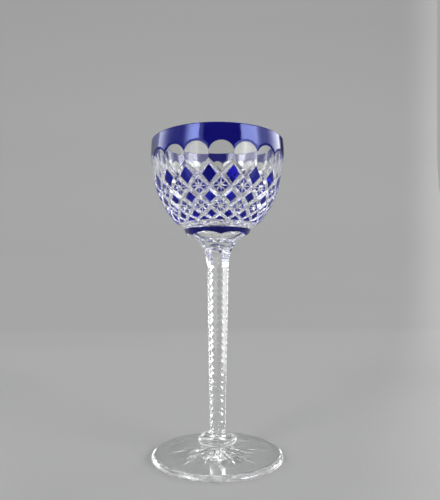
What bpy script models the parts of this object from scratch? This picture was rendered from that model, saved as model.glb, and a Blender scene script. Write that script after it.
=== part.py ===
"""A rummer: a tall wine glass of clear crystal, cased in cobalt glass and cut through to the clear.

The glass stands on the origin with its axis on Z and one flute facing -Y. Sizes are in metres.
"""

import math

import bmesh
import bpy
from mathutils import Matrix, Vector

# Fused pieces keep this clearance where they meet
SEAM = 0.0003

# Cutters run at least this far past what they cut
OVERRUN = 0.0010

# Foot
FOOT_RADIUS = 0.0397
FOOT_EDGE = 0.0030
FOOT_HEIGHT = 0.0068
FOOT_CROWN_RADIUS = 0.0090
FOOT_SWEEP = 1.6
REST_RING_WIDTH = 0.0045
FOOT_HOLLOW = 0.0009

# Star under the foot: the rays' cutters lie a drop below the underside, so their tips run out of the glass
STAR_RAYS = 8
STAR_CENTRE_RADIUS = 0.0040
LONG_RAY_RADIUS = 0.0387
SHORT_RAY_RADIUS = 0.0297
RAY_HALF_WIDTH = 0.0012
RAY_HALF_HEIGHT = 0.0009
RAY_DROP = 0.0002

# Knop
KNOP_RADIUS = 0.0117
KNOP_HEIGHT = 0.0062
KNOP_SEAT_RADIUS = 0.0072

# Stem, whose radii are taken on its flats
STEM_SIDES = 6
STEM_LENGTH = 0.1174
STEM_FOOT_RADIUS = 0.0046
STEM_NECK_RADIUS = 0.0062
FLARE_LENGTH = 0.0195
FLARE_RADIUS = 0.0120
FLARE_SWEEP = 2.9

# Nicks along the stem's ridges: a share counts pitches of a pair, from the stem's lower end
NICK_PAIRS = 12
NICK_DEPTH = 0.0005
LONG_NICK = 0.0050
LONG_NICK_SHARE = 1.14
SHORT_NICK = 0.0028
SHORT_NICK_SHARE = 0.64

# Bowl
BOWL_HEIGHT = 0.0587
BELLY_RADIUS = 0.0402
BELLY_DROP = 0.0080
CURVE_TAIL = 0.0013
RIM_THICKNESS = 0.0016
FLOOR_THICKNESS = 0.0077
BASE_RADIUS = 0.0202
BASE_TAPER = 0.45
COLLAR_LIFT = 0.0077

# Cobalt casing
CASING = 0.0007
BASE_RING_LIFT = 0.0060

# Petals that the stem's flats cut into the base ring's lower edge
PETAL_LIFT = 0.0037

# Flutes round the top of the bowl
COLUMNS = 18
ARCH_DROP = 0.0085
CUSP_DROP = 0.0120
FLUTE_TAIL = 0.0018

# Mitre lattice below the flutes
LATTICE_DROP = 0.0206
LATTICE_LIFT = 0.0093
ROW_CROWDING = 1.35
MITRE_DEPTH = 0.0016
STAR_DEPTH = 0.0010
STAR_HUB = 0.34

# Share of its cell that each row's tile fills, across and up, counting rows from the top
TILE_SHARES = {1: (0.54, 0.74), 2: (0.70, 0.66), 3: (0.48, 0.48), 4: (0.68, 0.66), 5: (0.50, 0.58)}
HALF_TILE_SHARE = (0.62, 0.66)

# Rows of plain cobalt tiles: the rows between them are star-cut
PLAIN_ROWS = {1: "upper", 3: "middle", 5: "lower"}

# Glass
CRYSTAL_COLOUR = (0.96, 0.97, 0.97)
COBALT_COLOUR = (0.02, 0.02, 0.35)
GLASS_ROUGHNESS = 0.02
GLASS_IOR = 1.54

# Facets
TURN_STEPS = 60
ARCH_STEPS = 6
WALL_RINGS = 8
ROUND_STEPS = 6
FLARE_RINGS = 8
SHARP_ANGLE = math.radians(25)
WELD = 0.00001

# Heights that follow from the sizes above
KNOP_BASE = FOOT_HEIGHT + SEAM
KNOP_TOP = KNOP_BASE + KNOP_HEIGHT
STEM_BASE = KNOP_TOP + SEAM
STEM_TOP = STEM_BASE + STEM_LENGTH
STEM_NECK = STEM_TOP - FLARE_LENGTH
BOWL_BASE = STEM_TOP + SEAM
RIM = BOWL_BASE + BOWL_HEIGHT
BELLY = RIM - BELLY_DROP
CURVE_DEPTH = BELLY - BOWL_BASE + CURVE_TAIL
ARCH_TOP = RIM - ARCH_DROP
CUSP = RIM - CUSP_DROP
LATTICE_TOP = RIM - LATTICE_DROP
LATTICE_FOOT = BOWL_BASE + LATTICE_LIFT

COLUMN_ANGLE = 2 * math.pi / COLUMNS
HALF_COLUMN = COLUMN_ANGLE / 2
HALF_COLUMNS = 2 * COLUMNS
SIDE_ANGLE = 2 * math.pi / STEM_SIDES
RIDGE_REACH = 1 / math.cos(SIDE_ANGLE / 2)
SEAT_DEPTH = CASING + SEAM
LEVELS = len(TILE_SHARES) + 1


def polar(radius, angle, height):
    """Point at an angle counted from -Y towards +X."""
    return Vector((radius * math.sin(angle), -radius * math.cos(angle), height))


def wall_radius(height):
    """Radius of the bowl's finished outside: one ellipse from the rim to the base."""
    rise = (height - BELLY) / CURVE_DEPTH
    return BELLY_RADIUS * math.sqrt(1 - rise * rise)


def wall_point(angle, height, depth=0.0):
    """Point on the bowl's outside, sunk square to the wall by a depth."""
    radius = wall_radius(height)
    across = radius / BELLY_RADIUS**2
    up = (height - BELLY) / CURVE_DEPTH**2
    length = math.hypot(across, up)
    return polar(radius - depth * across / length, angle, height - depth * up / length)


# Each flute is a flat leaning in below its arch, set by the arch's top and by the cusps between arches
FLUTE_SLOPE = (wall_radius(ARCH_TOP) - wall_radius(CUSP) * math.cos(HALF_COLUMN)) / (ARCH_TOP - CUSP)


def flute_radius(offset, height):
    """Radius of a flute's flat at an angle from its middle."""
    return (wall_radius(ARCH_TOP) - FLUTE_SLOPE * (ARCH_TOP - height)) / math.cos(offset)


def arch_height(offset):
    """Height at which a flute's flat leaves the bowl's outside."""
    middle = wall_radius(ARCH_TOP) - FLUTE_SLOPE * (ARCH_TOP - BELLY)
    reach = (BELLY_RADIUS * math.cos(offset)) ** 2
    square = FLUTE_SLOPE**2 + reach / CURVE_DEPTH**2
    half_linear = FLUTE_SLOPE * middle
    root = math.sqrt(half_linear**2 - square * (middle**2 - reach))
    return BELLY + (root - half_linear) / square


def base_radius(height):
    """Radius of the bowl's base below its collar: it tapers in towards the stem."""
    return BASE_RADIUS - BASE_TAPER * (BOWL_BASE + BASE_RING_LIFT - height)


def level_height(level):
    """Height at which the mitre cuts cross: level 0 is the highest, and the levels crowd downwards."""
    left = 1 - level / LEVELS
    return LATTICE_FOOT + (LATTICE_TOP - LATTICE_FOOT) * left**ROW_CROWDING


def groove_point(level, half_column):
    """Point at which mitre cuts cross, at the bottom of both."""
    return wall_point(half_column * HALF_COLUMN, level_height(level), MITRE_DEPTH)


def cell_corners(row, half_column):
    """A cell's groove crossings as (level, half column): top, right, bottom, left."""
    return (
        (row - 1, half_column),
        (row, half_column + 1),
        (row + 1, half_column),
        (row, half_column - 1),
    )


def tile_corner(row, half_column, corner, depth):
    """Corner of a row's tile at a depth on the mitre slopes that run from the wall down to the grooves."""
    share_across, share_up = TILE_SHARES[row]
    level, corner_column = corner
    middle = level_height(row)
    angle = (half_column + share_across * (corner_column - half_column)) * HALF_COLUMN
    height = middle + share_up * (level_height(level) - middle)
    top = wall_point(angle, height)
    return top.lerp(groove_point(level, corner_column), depth / MITRE_DEPTH)


def add_points(bm, points):
    """Adds points to a mesh and returns its vertices for them."""
    return [bm.verts.new(point) for point in points]


def bridge(bm, first, second):
    """Joins two rings of equally many points with a band of faces."""
    for here, there in zip(range(-1, len(first) - 1), range(len(first))):
        bm.faces.new((first[here], first[there], second[there], second[here]))


def fan(bm, ring, point):
    """Closes a ring of points with triangles to one point."""
    tip = bm.verts.new(point)
    for vert, following in zip(ring, ring[1:] + ring[:1]):
        bm.faces.new((vert, following, tip))


def finished(bm, name):
    """Turns a closed mesh to face out, shades it and returns it as mesh data."""
    bmesh.ops.recalc_face_normals(bm, faces=bm.faces)
    mesh = bpy.data.meshes.new(name)
    bm.to_mesh(mesh)
    bm.free()
    mesh.shade_smooth()
    mesh.set_sharp_from_angle(angle=SHARP_ANGLE)
    return mesh


def star_cut(bm, corners, centre, hub):
    """Fills a tile with an eight-ray star: V-cut rays that sink to the hub, and a flat chip between rays.

    Returns the points halfway along the tile's sides, where every second ray ends.
    """
    middles = []
    tips = []
    for vert, following in zip(corners, corners[1:] + corners[:1]):
        middles.append(bm.verts.new((vert.co + following.co) / 2))
        tips += [vert, middles[-1]]
    hub_vert = bm.verts.new(hub)
    chips = []
    for tip, following in zip(tips, tips[1:] + tips[:1]):
        chips.append(bm.verts.new(centre.lerp((tip.co + following.co) / 2, STAR_HUB)))
    for index, tip in enumerate(tips):
        bm.faces.new((tip, tips[(index + 1) % len(tips)], chips[index]))
        bm.faces.new((hub_vert, tip, chips[index]))
        bm.faces.new((hub_vert, chips[index - 1], tip))
    return middles


def cut_cell(bm, grooves, row, half_column):
    """One diamond of the lattice: four mitre slopes round a cobalt tile's seat or round a star-cut tile."""
    corners = cell_corners(row, half_column)
    depth = SEAT_DEPTH if row in PLAIN_ROWS else 0.0
    pad = add_points(bm, [tile_corner(row, half_column, corner, depth) for corner in corners])
    bottoms = [grooves[level, column % HALF_COLUMNS] for level, column in corners]
    if row in PLAIN_ROWS:
        bm.faces.new(pad)
        side_points = [[] for corner in corners]
    else:
        angle = half_column * HALF_COLUMN
        centre = wall_point(angle, level_height(row))
        hub = wall_point(angle, level_height(row), STAR_DEPTH)
        side_points = [[middle] for middle in star_cut(bm, pad, centre, hub)]
    for side, between in enumerate(side_points):
        following = (side + 1) % len(pad)
        bm.faces.new([bottoms[side], bottoms[following], pad[following], *between, pad[side]])


def cut_half_cell(bm, grooves, half_column):
    """A triangle that the ring groove leaves of the lowest row. Returns the two corners of its base."""
    share_across, share_up = HALF_TILE_SHARE
    angle = half_column * HALF_COLUMN
    spread = share_across * HALF_COLUMN
    top = wall_point(angle, LATTICE_FOOT + share_up * (level_height(LEVELS - 1) - LATTICE_FOOT))
    base = [wall_point(angle + side * spread, LATTICE_FOOT) for side in (-1, 1)]
    peak, left, right = add_points(bm, [top, *base])
    above = grooves[LEVELS - 1, half_column]
    before = grooves[LEVELS, (half_column - 1) % HALF_COLUMNS]
    after = grooves[LEVELS, (half_column + 1) % HALF_COLUMNS]
    bm.faces.new((peak, left, right))
    bm.faces.new((above, before, left, peak))
    bm.faces.new((above, peak, right, after))
    return left, right


def cut_lattice(bm):
    """The mitre-cut zone. Returns the groove crossings, and the ring of points along its lower edge."""
    grooves = {}
    for level in range(LEVELS + 1):
        for half_column in range((level + 1) % 2, HALF_COLUMNS, 2):
            grooves[level, half_column] = bm.verts.new(groove_point(level, half_column))
    for row in TILE_SHARES:
        for half_column in range(row % 2, HALF_COLUMNS, 2):
            cut_cell(bm, grooves, row, half_column)
    lower_edge = []
    for half_column in range(0, HALF_COLUMNS, 2):
        lower_edge += cut_half_cell(bm, grooves, half_column)
        lower_edge.append(grooves[LEVELS, half_column + 1])
    return grooves, lower_edge


def arch_points(radius_at, drop):
    """Ring of points under the arches, a drop below them, with a radius for each offset and height."""
    points = []
    for column in range(COLUMNS):
        for step in range(ARCH_STEPS):
            offset = (2 * step / ARCH_STEPS - 1) * HALF_COLUMN
            height = arch_height(offset) - drop
            points.append(polar(radius_at(offset, height), column * COLUMN_ANGLE + offset, height))
    return points


def arch_ring_angles():
    """Angles of the points that arch_points gives, in the same order."""
    count = COLUMNS * ARCH_STEPS
    return [index * 2 * math.pi / count - HALF_COLUMN for index in range(count)]


def rim_rings(depth, drop):
    """Rings of points along the arches, the belly and the rim, at a depth in the wall.

    The drop sets the first ring that far below the arches.
    """
    rings = [arch_points(lambda offset, height: wall_radius(height) - depth, drop)]
    for height in (BELLY, RIM):
        radius = wall_radius(height) - depth
        rings.append([polar(radius, angle, height) for angle in arch_ring_angles()])
    return rings


def cut_flutes(bm, grooves):
    """Flat flutes between their arches and the lattice. Returns the ring of points along the arches."""
    arches = add_points(bm, arch_points(flute_radius, SEAM))
    ridge_height = LATTICE_TOP + FLUTE_TAIL
    tail_height = level_height(1) + FLUTE_TAIL
    ridges = []
    tails = []
    for column in range(COLUMNS):
        angle = column * COLUMN_ANGLE
        ridges.append(polar(flute_radius(HALF_COLUMN, ridge_height), angle + HALF_COLUMN, ridge_height))
        tails.append(polar(flute_radius(0, tail_height), angle, tail_height))
    ridges = add_points(bm, ridges)
    tails = add_points(bm, tails)
    for column in range(COLUMNS):
        first = column * ARCH_STEPS
        arch = [arches[(first + step) % len(arches)] for step in range(ARCH_STEPS + 1)]
        left, tail, right = ridges[column - 1], tails[column], ridges[column]
        crossing = grooves[1, 2 * column]
        before = grooves[0, (2 * column - 1) % HALF_COLUMNS]
        after = grooves[0, 2 * column + 1]
        bm.faces.new(arch + [right, tail, left])
        bm.faces.new((left, tail, crossing, before))
        bm.faces.new((tail, right, after, crossing))
    return arches


def bowl_mesh():
    """The clear bowl, before its underside is cut to the stem's petals."""
    bm = bmesh.new()
    grooves, lower_edge = cut_lattice(bm)
    arches = cut_flutes(bm, grooves)

    rings = [arches]
    rings += [add_points(bm, points) for points in rim_rings(SEAT_DEPTH, SEAM)]
    inner_radius = wall_radius(RIM) - RIM_THICKNESS
    inner_depth = BOWL_HEIGHT - FLOOR_THICKNESS
    for ring in range(WALL_RINGS):
        turn = ring / WALL_RINGS * math.pi / 2
        radius = inner_radius * math.cos(turn)
        height = RIM - inner_depth * math.sin(turn)
        rings.append(add_points(bm, [polar(radius, angle, height) for angle in arch_ring_angles()]))
    for upper, lower in zip(rings, rings[1:]):
        bridge(bm, upper, lower)
    fan(bm, rings[-1], Vector((0, 0, RIM - inner_depth)))

    edge_angles = [math.atan2(vert.co.x, -vert.co.y) for vert in lower_edge]
    seat_top = BOWL_BASE + BASE_RING_LIFT + SEAM
    seat_foot = BOWL_BASE - OVERRUN
    base_outline = (
        (BASE_RADIUS, BOWL_BASE + COLLAR_LIFT),
        (BASE_RADIUS, seat_top),
        (base_radius(seat_top) - SEAT_DEPTH, seat_top),
        (base_radius(seat_foot) - SEAT_DEPTH, seat_foot),
    )
    upper = lower_edge
    for radius, height in base_outline:
        lower = add_points(bm, [polar(radius, angle, height) for angle in edge_angles])
        bridge(bm, upper, lower)
        upper = lower
    bm.faces.new(upper)
    return finished(bm, "bowl")


def rim_band_mesh():
    """The cobalt band round the rim, whose lower edge follows the flutes' arches."""
    bm = bmesh.new()
    section = rim_rings(0.0, 0.0) + rim_rings(CASING, 0.0)[::-1]
    rings = [add_points(bm, points) for points in section]
    for first, second in zip(rings, rings[1:] + rings[:1]):
        bridge(bm, first, second)
    return finished(bm, "cobalt_rim_band")


def tile_mesh(row):
    """A plain cobalt tile of a row: a slice of the wall with the mitre cuts' slopes on its four sides."""
    bm = bmesh.new()
    half_column = row % 2
    corners = cell_corners(row, half_column)
    angle = half_column * HALF_COLUMN
    faces = []
    for depth in (0.0, CASING):
        points = [tile_corner(row, half_column, corner, depth) for corner in corners]
        faces.append(add_points(bm, points))
        fan(bm, faces[-1], wall_point(angle, level_height(row), depth))
    bridge(bm, *faces)
    return finished(bm, f"cobalt_tile_{PLAIN_ROWS[row]}")


def stem_flat(height):
    """Distance of the stem's flats from its axis: a straight taper, then a flare up to the bowl."""
    if height <= STEM_NECK:
        share = (height - STEM_BASE) / (STEM_NECK - STEM_BASE)
        return STEM_FOOT_RADIUS + (STEM_NECK_RADIUS - STEM_FOOT_RADIUS) * share
    share = ((height - STEM_NECK) / FLARE_LENGTH) ** FLARE_SWEEP
    return STEM_NECK_RADIUS + (FLARE_RADIUS - STEM_NECK_RADIUS) * share


def ridge_ring(flat, height):
    """The corners of the six-sided section whose flats lie at a distance from the axis. A ridge faces -Y."""
    return [polar(flat * RIDGE_REACH, side * SIDE_ANGLE, height) for side in range(STEM_SIDES)]


def stem_mesh():
    """The six-sided stem, before its ridges are nicked."""
    bm = bmesh.new()
    heights = [STEM_BASE]
    heights += [STEM_NECK + FLARE_LENGTH * ring / FLARE_RINGS for ring in range(FLARE_RINGS + 1)]
    rings = []
    for height in heights:
        rings.append(add_points(bm, ridge_ring(stem_flat(height), height)))
    for lower, upper in zip(rings, rings[1:]):
        bridge(bm, lower, upper)
    bm.faces.new(rings[0])
    bm.faces.new(rings[-1])
    return finished(bm, "stem")


def nick_mesh():
    """Cutters for the nicks: along each ridge, long and short hollows take turns."""
    bm = bmesh.new()
    pitch = (STEM_NECK - STEM_BASE) / NICK_PAIRS
    for pair in range(NICK_PAIRS):
        for share, length in ((LONG_NICK_SHARE, LONG_NICK), (SHORT_NICK_SHARE, SHORT_NICK)):
            height = STEM_BASE + (pair + share) * pitch
            for side in range(STEM_SIDES):
                add_nick(bm, side * SIDE_ANGLE, height, length)
    return finished(bm, "nick_cutter")


def add_nick(bm, angle, height, length):
    """One hollow across a ridge: a slice with a curved inner side and a flat back clear of the stem."""
    ridge = stem_flat(height) * RIDGE_REACH
    outline = [(ridge + OVERRUN, length / 2), (ridge + OVERRUN, -length / 2)]
    for step in range(ROUND_STEPS - 1):
        along = 2 * step / (ROUND_STEPS - 2) - 1
        outline.append((ridge - NICK_DEPTH * (1 - along**2), along * length / 2))
    across = polar(STEM_FOOT_RADIUS / 2, angle + math.pi / 2, 0)
    sides = []
    for side in (-1, 1):
        points = [polar(radius, angle, height + up) + side * across for radius, up in outline]
        sides.append(add_points(bm, points))
        bm.faces.new(sides[-1])
    bridge(bm, *sides)


def knop_outline():
    """The button's half section, from its top round to its bottom."""
    middle = (KNOP_BASE + KNOP_TOP) / 2
    outline = [(0, KNOP_TOP)]
    for step in range(2 * ROUND_STEPS + 1):
        turn = math.pi / 2 * (1 - step / ROUND_STEPS)
        radius = KNOP_SEAT_RADIUS + (KNOP_RADIUS - KNOP_SEAT_RADIUS) * math.cos(turn)
        outline.append((radius, middle + KNOP_HEIGHT / 2 * math.sin(turn)))
    return outline + [(0, KNOP_BASE)]


def foot_outline():
    """The foot's half section: a swept top, a round edge, a flat ring to rest on and a hollow underside."""
    round_radius = FOOT_EDGE / 2
    edge_radius = FOOT_RADIUS - round_radius
    outline = [(0, FOOT_HEIGHT)]
    for step in range(ROUND_STEPS):
        share = step / ROUND_STEPS
        radius = FOOT_CROWN_RADIUS + (edge_radius - FOOT_CROWN_RADIUS) * share
        outline.append((radius, FOOT_EDGE + (FOOT_HEIGHT - FOOT_EDGE) * (1 - share) ** FOOT_SWEEP))
    for step in range(ROUND_STEPS + 1):
        turn = math.pi * (0.5 - step / ROUND_STEPS)
        outline.append((edge_radius + round_radius * math.cos(turn), round_radius * (1 + math.sin(turn))))
    return outline + [(edge_radius - REST_RING_WIDTH, 0), (0, FOOT_HOLLOW)]


def base_ring_outline():
    """The base ring's section, before its lower edge is cut to petals."""
    outline = []
    for depth, lifts in ((0.0, (BASE_RING_LIFT, 0.0)), (CASING, (0.0, BASE_RING_LIFT))):
        for lift in lifts:
            outline.append((base_radius(BOWL_BASE + lift) - depth, BOWL_BASE + lift))
    return outline + outline[:1]


def turned(name, outline):
    """A half section turned round Z. The section runs down its outer side."""
    mesh = bpy.data.meshes.new(name)
    points = [(radius, 0, height) for radius, height in outline]
    mesh.from_pydata(points, [(index, index + 1) for index in range(len(points) - 1)], [])
    part = bpy.data.objects.new(name, mesh)
    screw = part.modifiers.new("turn", "SCREW")
    screw.steps = TURN_STEPS
    screw.render_steps = TURN_STEPS
    screw.use_merge_vertices = True
    screw.merge_threshold = WELD
    screw.use_smooth_shade = True
    return part


def ray_mesh(name, reach, turn):
    """Cutters for one set of the foot's star rays: slim flattened pyramids that lie along the hollow underside."""
    bm = bmesh.new()
    length = reach - STAR_CENTRE_RADIUS
    hollow_radius = FOOT_RADIUS - FOOT_EDGE / 2 - REST_RING_WIDTH
    lean = math.atan2(FOOT_HOLLOW, hollow_radius)
    middle = Matrix.Translation((0, 0, FOOT_HOLLOW - RAY_DROP))
    middle_radius = (STAR_CENTRE_RADIUS + reach) / 2
    outward = Matrix.Rotation(lean, 4, "Y") @ Matrix.Translation((middle_radius, 0, 0))
    flattened = Matrix.Diagonal((RAY_HALF_HEIGHT / RAY_HALF_WIDTH, 1, 1, 1))
    lying = Matrix.Rotation(math.pi / 2, 4, "Y") @ flattened
    for ray in range(STAR_RAYS):
        heading = Matrix.Rotation((ray + turn) * 2 * math.pi / STAR_RAYS, 4, "Z")
        place = middle @ heading @ outward @ lying
        bmesh.ops.create_cone(
            bm, cap_ends=True, segments=4, radius1=RAY_HALF_WIDTH, radius2=0, depth=length, matrix=place
        )
    bmesh.ops.remove_doubles(bm, verts=bm.verts, dist=WELD)
    return finished(bm, name)


def petal_mesh():
    """Cutter for the bowl's underside: the stem's flats, spread to meet the base ring in petals."""
    bm = bmesh.new()
    spread = (base_radius(BOWL_BASE + PETAL_LIFT) - FLARE_RADIUS) / PETAL_LIFT
    rings = []
    for height in (BOWL_BASE, RIM + OVERRUN):
        flat = FLARE_RADIUS + spread * (height - BOWL_BASE)
        rings.append(add_points(bm, ridge_ring(flat, height)))
        bm.faces.new(rings[-1])
    bridge(bm, *rings)
    return finished(bm, "petal_cutter")


def glass(name, colour):
    """A polished glass of one colour."""
    material = bpy.data.materials.new(name)
    material.use_nodes = True
    shader = material.node_tree.nodes["Principled BSDF"]
    shader.inputs["Base Color"].default_value = (*colour, 1)
    shader.inputs["Roughness"].default_value = GLASS_ROUGHNESS
    shader.inputs["Metallic"].default_value = 0
    shader.inputs["IOR"].default_value = GLASS_IOR
    shader.inputs["Transmission Weight"].default_value = 1
    return material


def add_collection(name):
    """A new collection in the scene."""
    collection = bpy.data.collections.new(name)
    bpy.context.scene.collection.children.link(collection)
    return collection


def cut(part, cutter, operation):
    """Cuts a part with a cutter, by taking it away or by keeping what lies inside it."""
    boolean = part.modifiers.new(cutter.name, "BOOLEAN")
    boolean.operation = operation
    boolean.solver = "EXACT"
    boolean.object = cutter


def build():
    """Builds every piece of the glass in an emptied scene."""
    for old in list(bpy.data.objects):
        bpy.data.objects.remove(old)
    rummer = add_collection("rummer")
    cutters = add_collection("cutters")
    crystal = glass("clear_crystal", CRYSTAL_COLOUR)
    cobalt = glass("cobalt_glass", COBALT_COLOUR)

    def add_part(part, material):
        part.data.materials.append(material)
        rummer.objects.link(part)
        return part

    def add_cutter(mesh):
        cutter = bpy.data.objects.new(mesh.name, mesh)
        cutter.hide_render = True
        cutter.display_type = "WIRE"
        cutters.objects.link(cutter)
        return cutter

    petals = add_cutter(petal_mesh())
    bowl = add_part(bpy.data.objects.new("bowl", bowl_mesh()), crystal)
    cut(bowl, petals, "INTERSECT")
    add_part(bpy.data.objects.new("cobalt_rim_band", rim_band_mesh()), cobalt)
    base_ring = add_part(turned("cobalt_base_ring", base_ring_outline()), cobalt)
    cut(base_ring, petals, "INTERSECT")

    for row, place in PLAIN_ROWS.items():
        mesh = tile_mesh(row)
        mesh.materials.append(cobalt)
        for column in range(COLUMNS):
            tile = bpy.data.objects.new(f"cobalt_tile_{place}_{column + 1:02}", mesh)
            tile.rotation_euler.z = column * COLUMN_ANGLE
            rummer.objects.link(tile)

    stem = add_part(bpy.data.objects.new("stem", stem_mesh()), crystal)
    cut(stem, add_cutter(nick_mesh()), "DIFFERENCE")
    add_part(turned("knop", knop_outline()), crystal)
    foot = add_part(turned("foot", foot_outline()), crystal)
    cut(foot, add_cutter(ray_mesh("long_ray_cutter", LONG_RAY_RADIUS, 0.0)), "DIFFERENCE")
    cut(foot, add_cutter(ray_mesh("short_ray_cutter", SHORT_RAY_RADIUS, 0.5)), "DIFFERENCE")


if __name__ == "__main__":
    build()
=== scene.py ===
"""Looks of a rummer: clear crystal cased in cobalt glass and cut through to the clear.

Every piece is a closed glass body of its own. Where the real pieces are fused hot, their meeting faces carry
a seam finish that lets light pass straight on, as it does through a fused joint. Sizes are in metres, +Z is
up, and angles count from -Y towards +X, as in the frame.
"""

import logging
import math
from dataclasses import dataclass, field
from enum import Enum, IntEnum
from typing import Iterable, Sequence, TypeVar, Union

import bmesh
import bpy
from bmesh.types import BMesh, BMVert
from bpy.types import Material, Node, NodeSocket, Object, World
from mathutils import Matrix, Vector


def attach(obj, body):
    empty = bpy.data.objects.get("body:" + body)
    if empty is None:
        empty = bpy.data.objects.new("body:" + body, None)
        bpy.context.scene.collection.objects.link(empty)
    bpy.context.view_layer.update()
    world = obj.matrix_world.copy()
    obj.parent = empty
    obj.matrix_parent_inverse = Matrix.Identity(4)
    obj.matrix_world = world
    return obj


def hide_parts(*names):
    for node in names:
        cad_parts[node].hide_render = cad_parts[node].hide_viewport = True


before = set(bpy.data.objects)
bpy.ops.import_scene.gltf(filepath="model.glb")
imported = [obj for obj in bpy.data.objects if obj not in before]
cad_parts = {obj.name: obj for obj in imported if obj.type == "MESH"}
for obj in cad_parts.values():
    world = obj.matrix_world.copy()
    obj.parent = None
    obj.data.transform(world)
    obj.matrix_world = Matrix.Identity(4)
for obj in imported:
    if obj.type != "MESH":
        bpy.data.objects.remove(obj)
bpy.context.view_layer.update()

LOG = logging.getLogger("rummer")
BODY = "root"
TURN = 2 * math.pi
QUARTER = math.pi / 2

# The hair of room that each face of a fused seam leaves
SEAM_ROOM = 0.000005

Item = TypeVar("Item")
Ring = list[BMVert]
Crossings = dict[tuple[int, int], BMVert]
Colour = tuple[float, float, float]
Span = tuple[float, float]
Stops = tuple[tuple[float, float], ...]
Input = Union[float, Sequence[float], NodeSocket]


class Slot(Enum):
    """The record's material slots."""

    CRYSTAL = "clear_crystal"
    COBALT = "cobalt_glass"


class Face(IntEnum):
    """Which of its piece's finishes a face has."""

    GLASS = 0
    SEAM = 1
    MITRE = 2


def polar(radius: float, angle: float, height: float) -> Vector:
    """Gives the point at an angle counted from -Y towards +X."""
    return Vector((radius * math.sin(angle), -radius * math.cos(angle), height))


def circle(radius: float, angles: Iterable[float], height: float) -> list[Vector]:
    """Gives the points of a level circle at its angles."""
    return [polar(radius, angle, height) for angle in angles]


def turns(count: int) -> list[float]:
    """Gives equal angles once round the axis."""
    return [index * TURN / count for index in range(count)]


def steps(count: int) -> list[float]:
    """Gives equal shares from 0 to 1, both included."""
    return [index / count for index in range(count + 1)]


def pairs(ring: Sequence[Item]) -> list[tuple[Item, Item]]:
    """Pairs each item of a closed ring with the next."""
    return list(zip(ring, [*ring[1:], ring[0]]))


def grey(level: float) -> Colour:
    """Gives a neutral colour."""
    return level, level, level


class Wiring:
    """The shader nodes of one material or world."""

    def __init__(self, owner: Union[Material, World]) -> None:
        """Takes over the owner's nodes.

        Args:
            owner: The material or world.
        """
        owner.use_nodes = True
        self.nodes = owner.node_tree.nodes
        self.links = owner.node_tree.links

    def feed(self, node: Node, inputs: dict[Union[str, int], Input]) -> Node:
        """Sets a node's inputs, or links those that are given another node's output.

        Args:
            node: The node.
            inputs: Values and outputs by the input's name or number.

        Returns:
            The node.
        """
        for key, value in inputs.items():
            if isinstance(value, NodeSocket):
                self.links.new(value, node.inputs[key])
            else:
                node.inputs[key].default_value = value
        return node

    def add(self, kind: str, inputs: dict[Union[str, int], Input], **settings: str) -> NodeSocket:
        """Adds a node.

        Args:
            kind: The node's kind, without the words that every kind starts with.
            inputs: Values and outputs by the input's name or number.
            settings: The node's other settings.

        Returns:
            The node's first output.
        """
        node = self.nodes.new("ShaderNode" + kind)
        for name, setting in settings.items():
            setattr(node, name, setting)
        return self.feed(node, inputs).outputs[0]

    def math(self, operation: str, *values: Input) -> NodeSocket:
        """Adds one sum."""
        return self.add("Math", dict(enumerate(values)), operation=operation)

    def place(self, kind: str) -> NodeSocket:
        """Adds the texture coordinates of a kind."""
        return self.nodes.new("ShaderNodeTexCoord").outputs[kind]

    def split(self, place: NodeSocket) -> list[NodeSocket]:
        """Splits a place into X, Y and Z."""
        return list(self.add("SeparateXYZ", {"Vector": place}).node.outputs)

    def noise(self, place: NodeSocket, scale: float, detail: float) -> NodeSocket:
        """Adds a cloudy pattern with values about one half."""
        return self.add("TexNoise", {"Vector": place, "Scale": scale, "Detail": detail})

    def stretch(
        self, value: NodeSocket, source: Span, target: Span = (0.0, 1.0), kind: str = "LINEAR"
    ) -> NodeSocket:
        """Maps one span of values onto another, and stays inside it."""
        inputs = {"From Min": source[0], "From Max": source[1], "To Min": target[0], "To Max": target[1]}
        return self.add("MapRange", {"Value": value, **inputs}, interpolation_type=kind)

    def rise(self, value: NodeSocket, source: Span, target: Span = (0.0, 1.0)) -> NodeSocket:
        """Maps one span of values onto another, with soft ends."""
        return self.stretch(value, source, target, "SMOOTHSTEP")

    def ramp(self, value: NodeSocket, stops: Iterable[tuple[float, Colour]]) -> NodeSocket:
        """Adds a ramp of colours.

        Args:
            value: The place along the ramp.
            stops: Places from 0 to 1, with the colour at each.

        Returns:
            The colour.
        """
        colour = self.add("ValToRGB", {"Fac": value})
        elements = colour.node.color_ramp.elements
        elements.remove(elements[1])
        for index, (position, shade) in enumerate(stops):
            element = elements.new(position) if index else elements[0]
            element.position = position
            element.color = (*shade, 1)
        return colour

    def camera_ray(self) -> NodeSocket:
        """Adds the test of whether the camera looks here straight."""
        return self.nodes.new("ShaderNodeLightPath").outputs["Is Camera Ray"]

    def show(self, surface: NodeSocket, target: str) -> None:
        """Sends a surface to the output of a name."""
        self.links.new(surface, self.nodes[target].inputs["Surface"])


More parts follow.
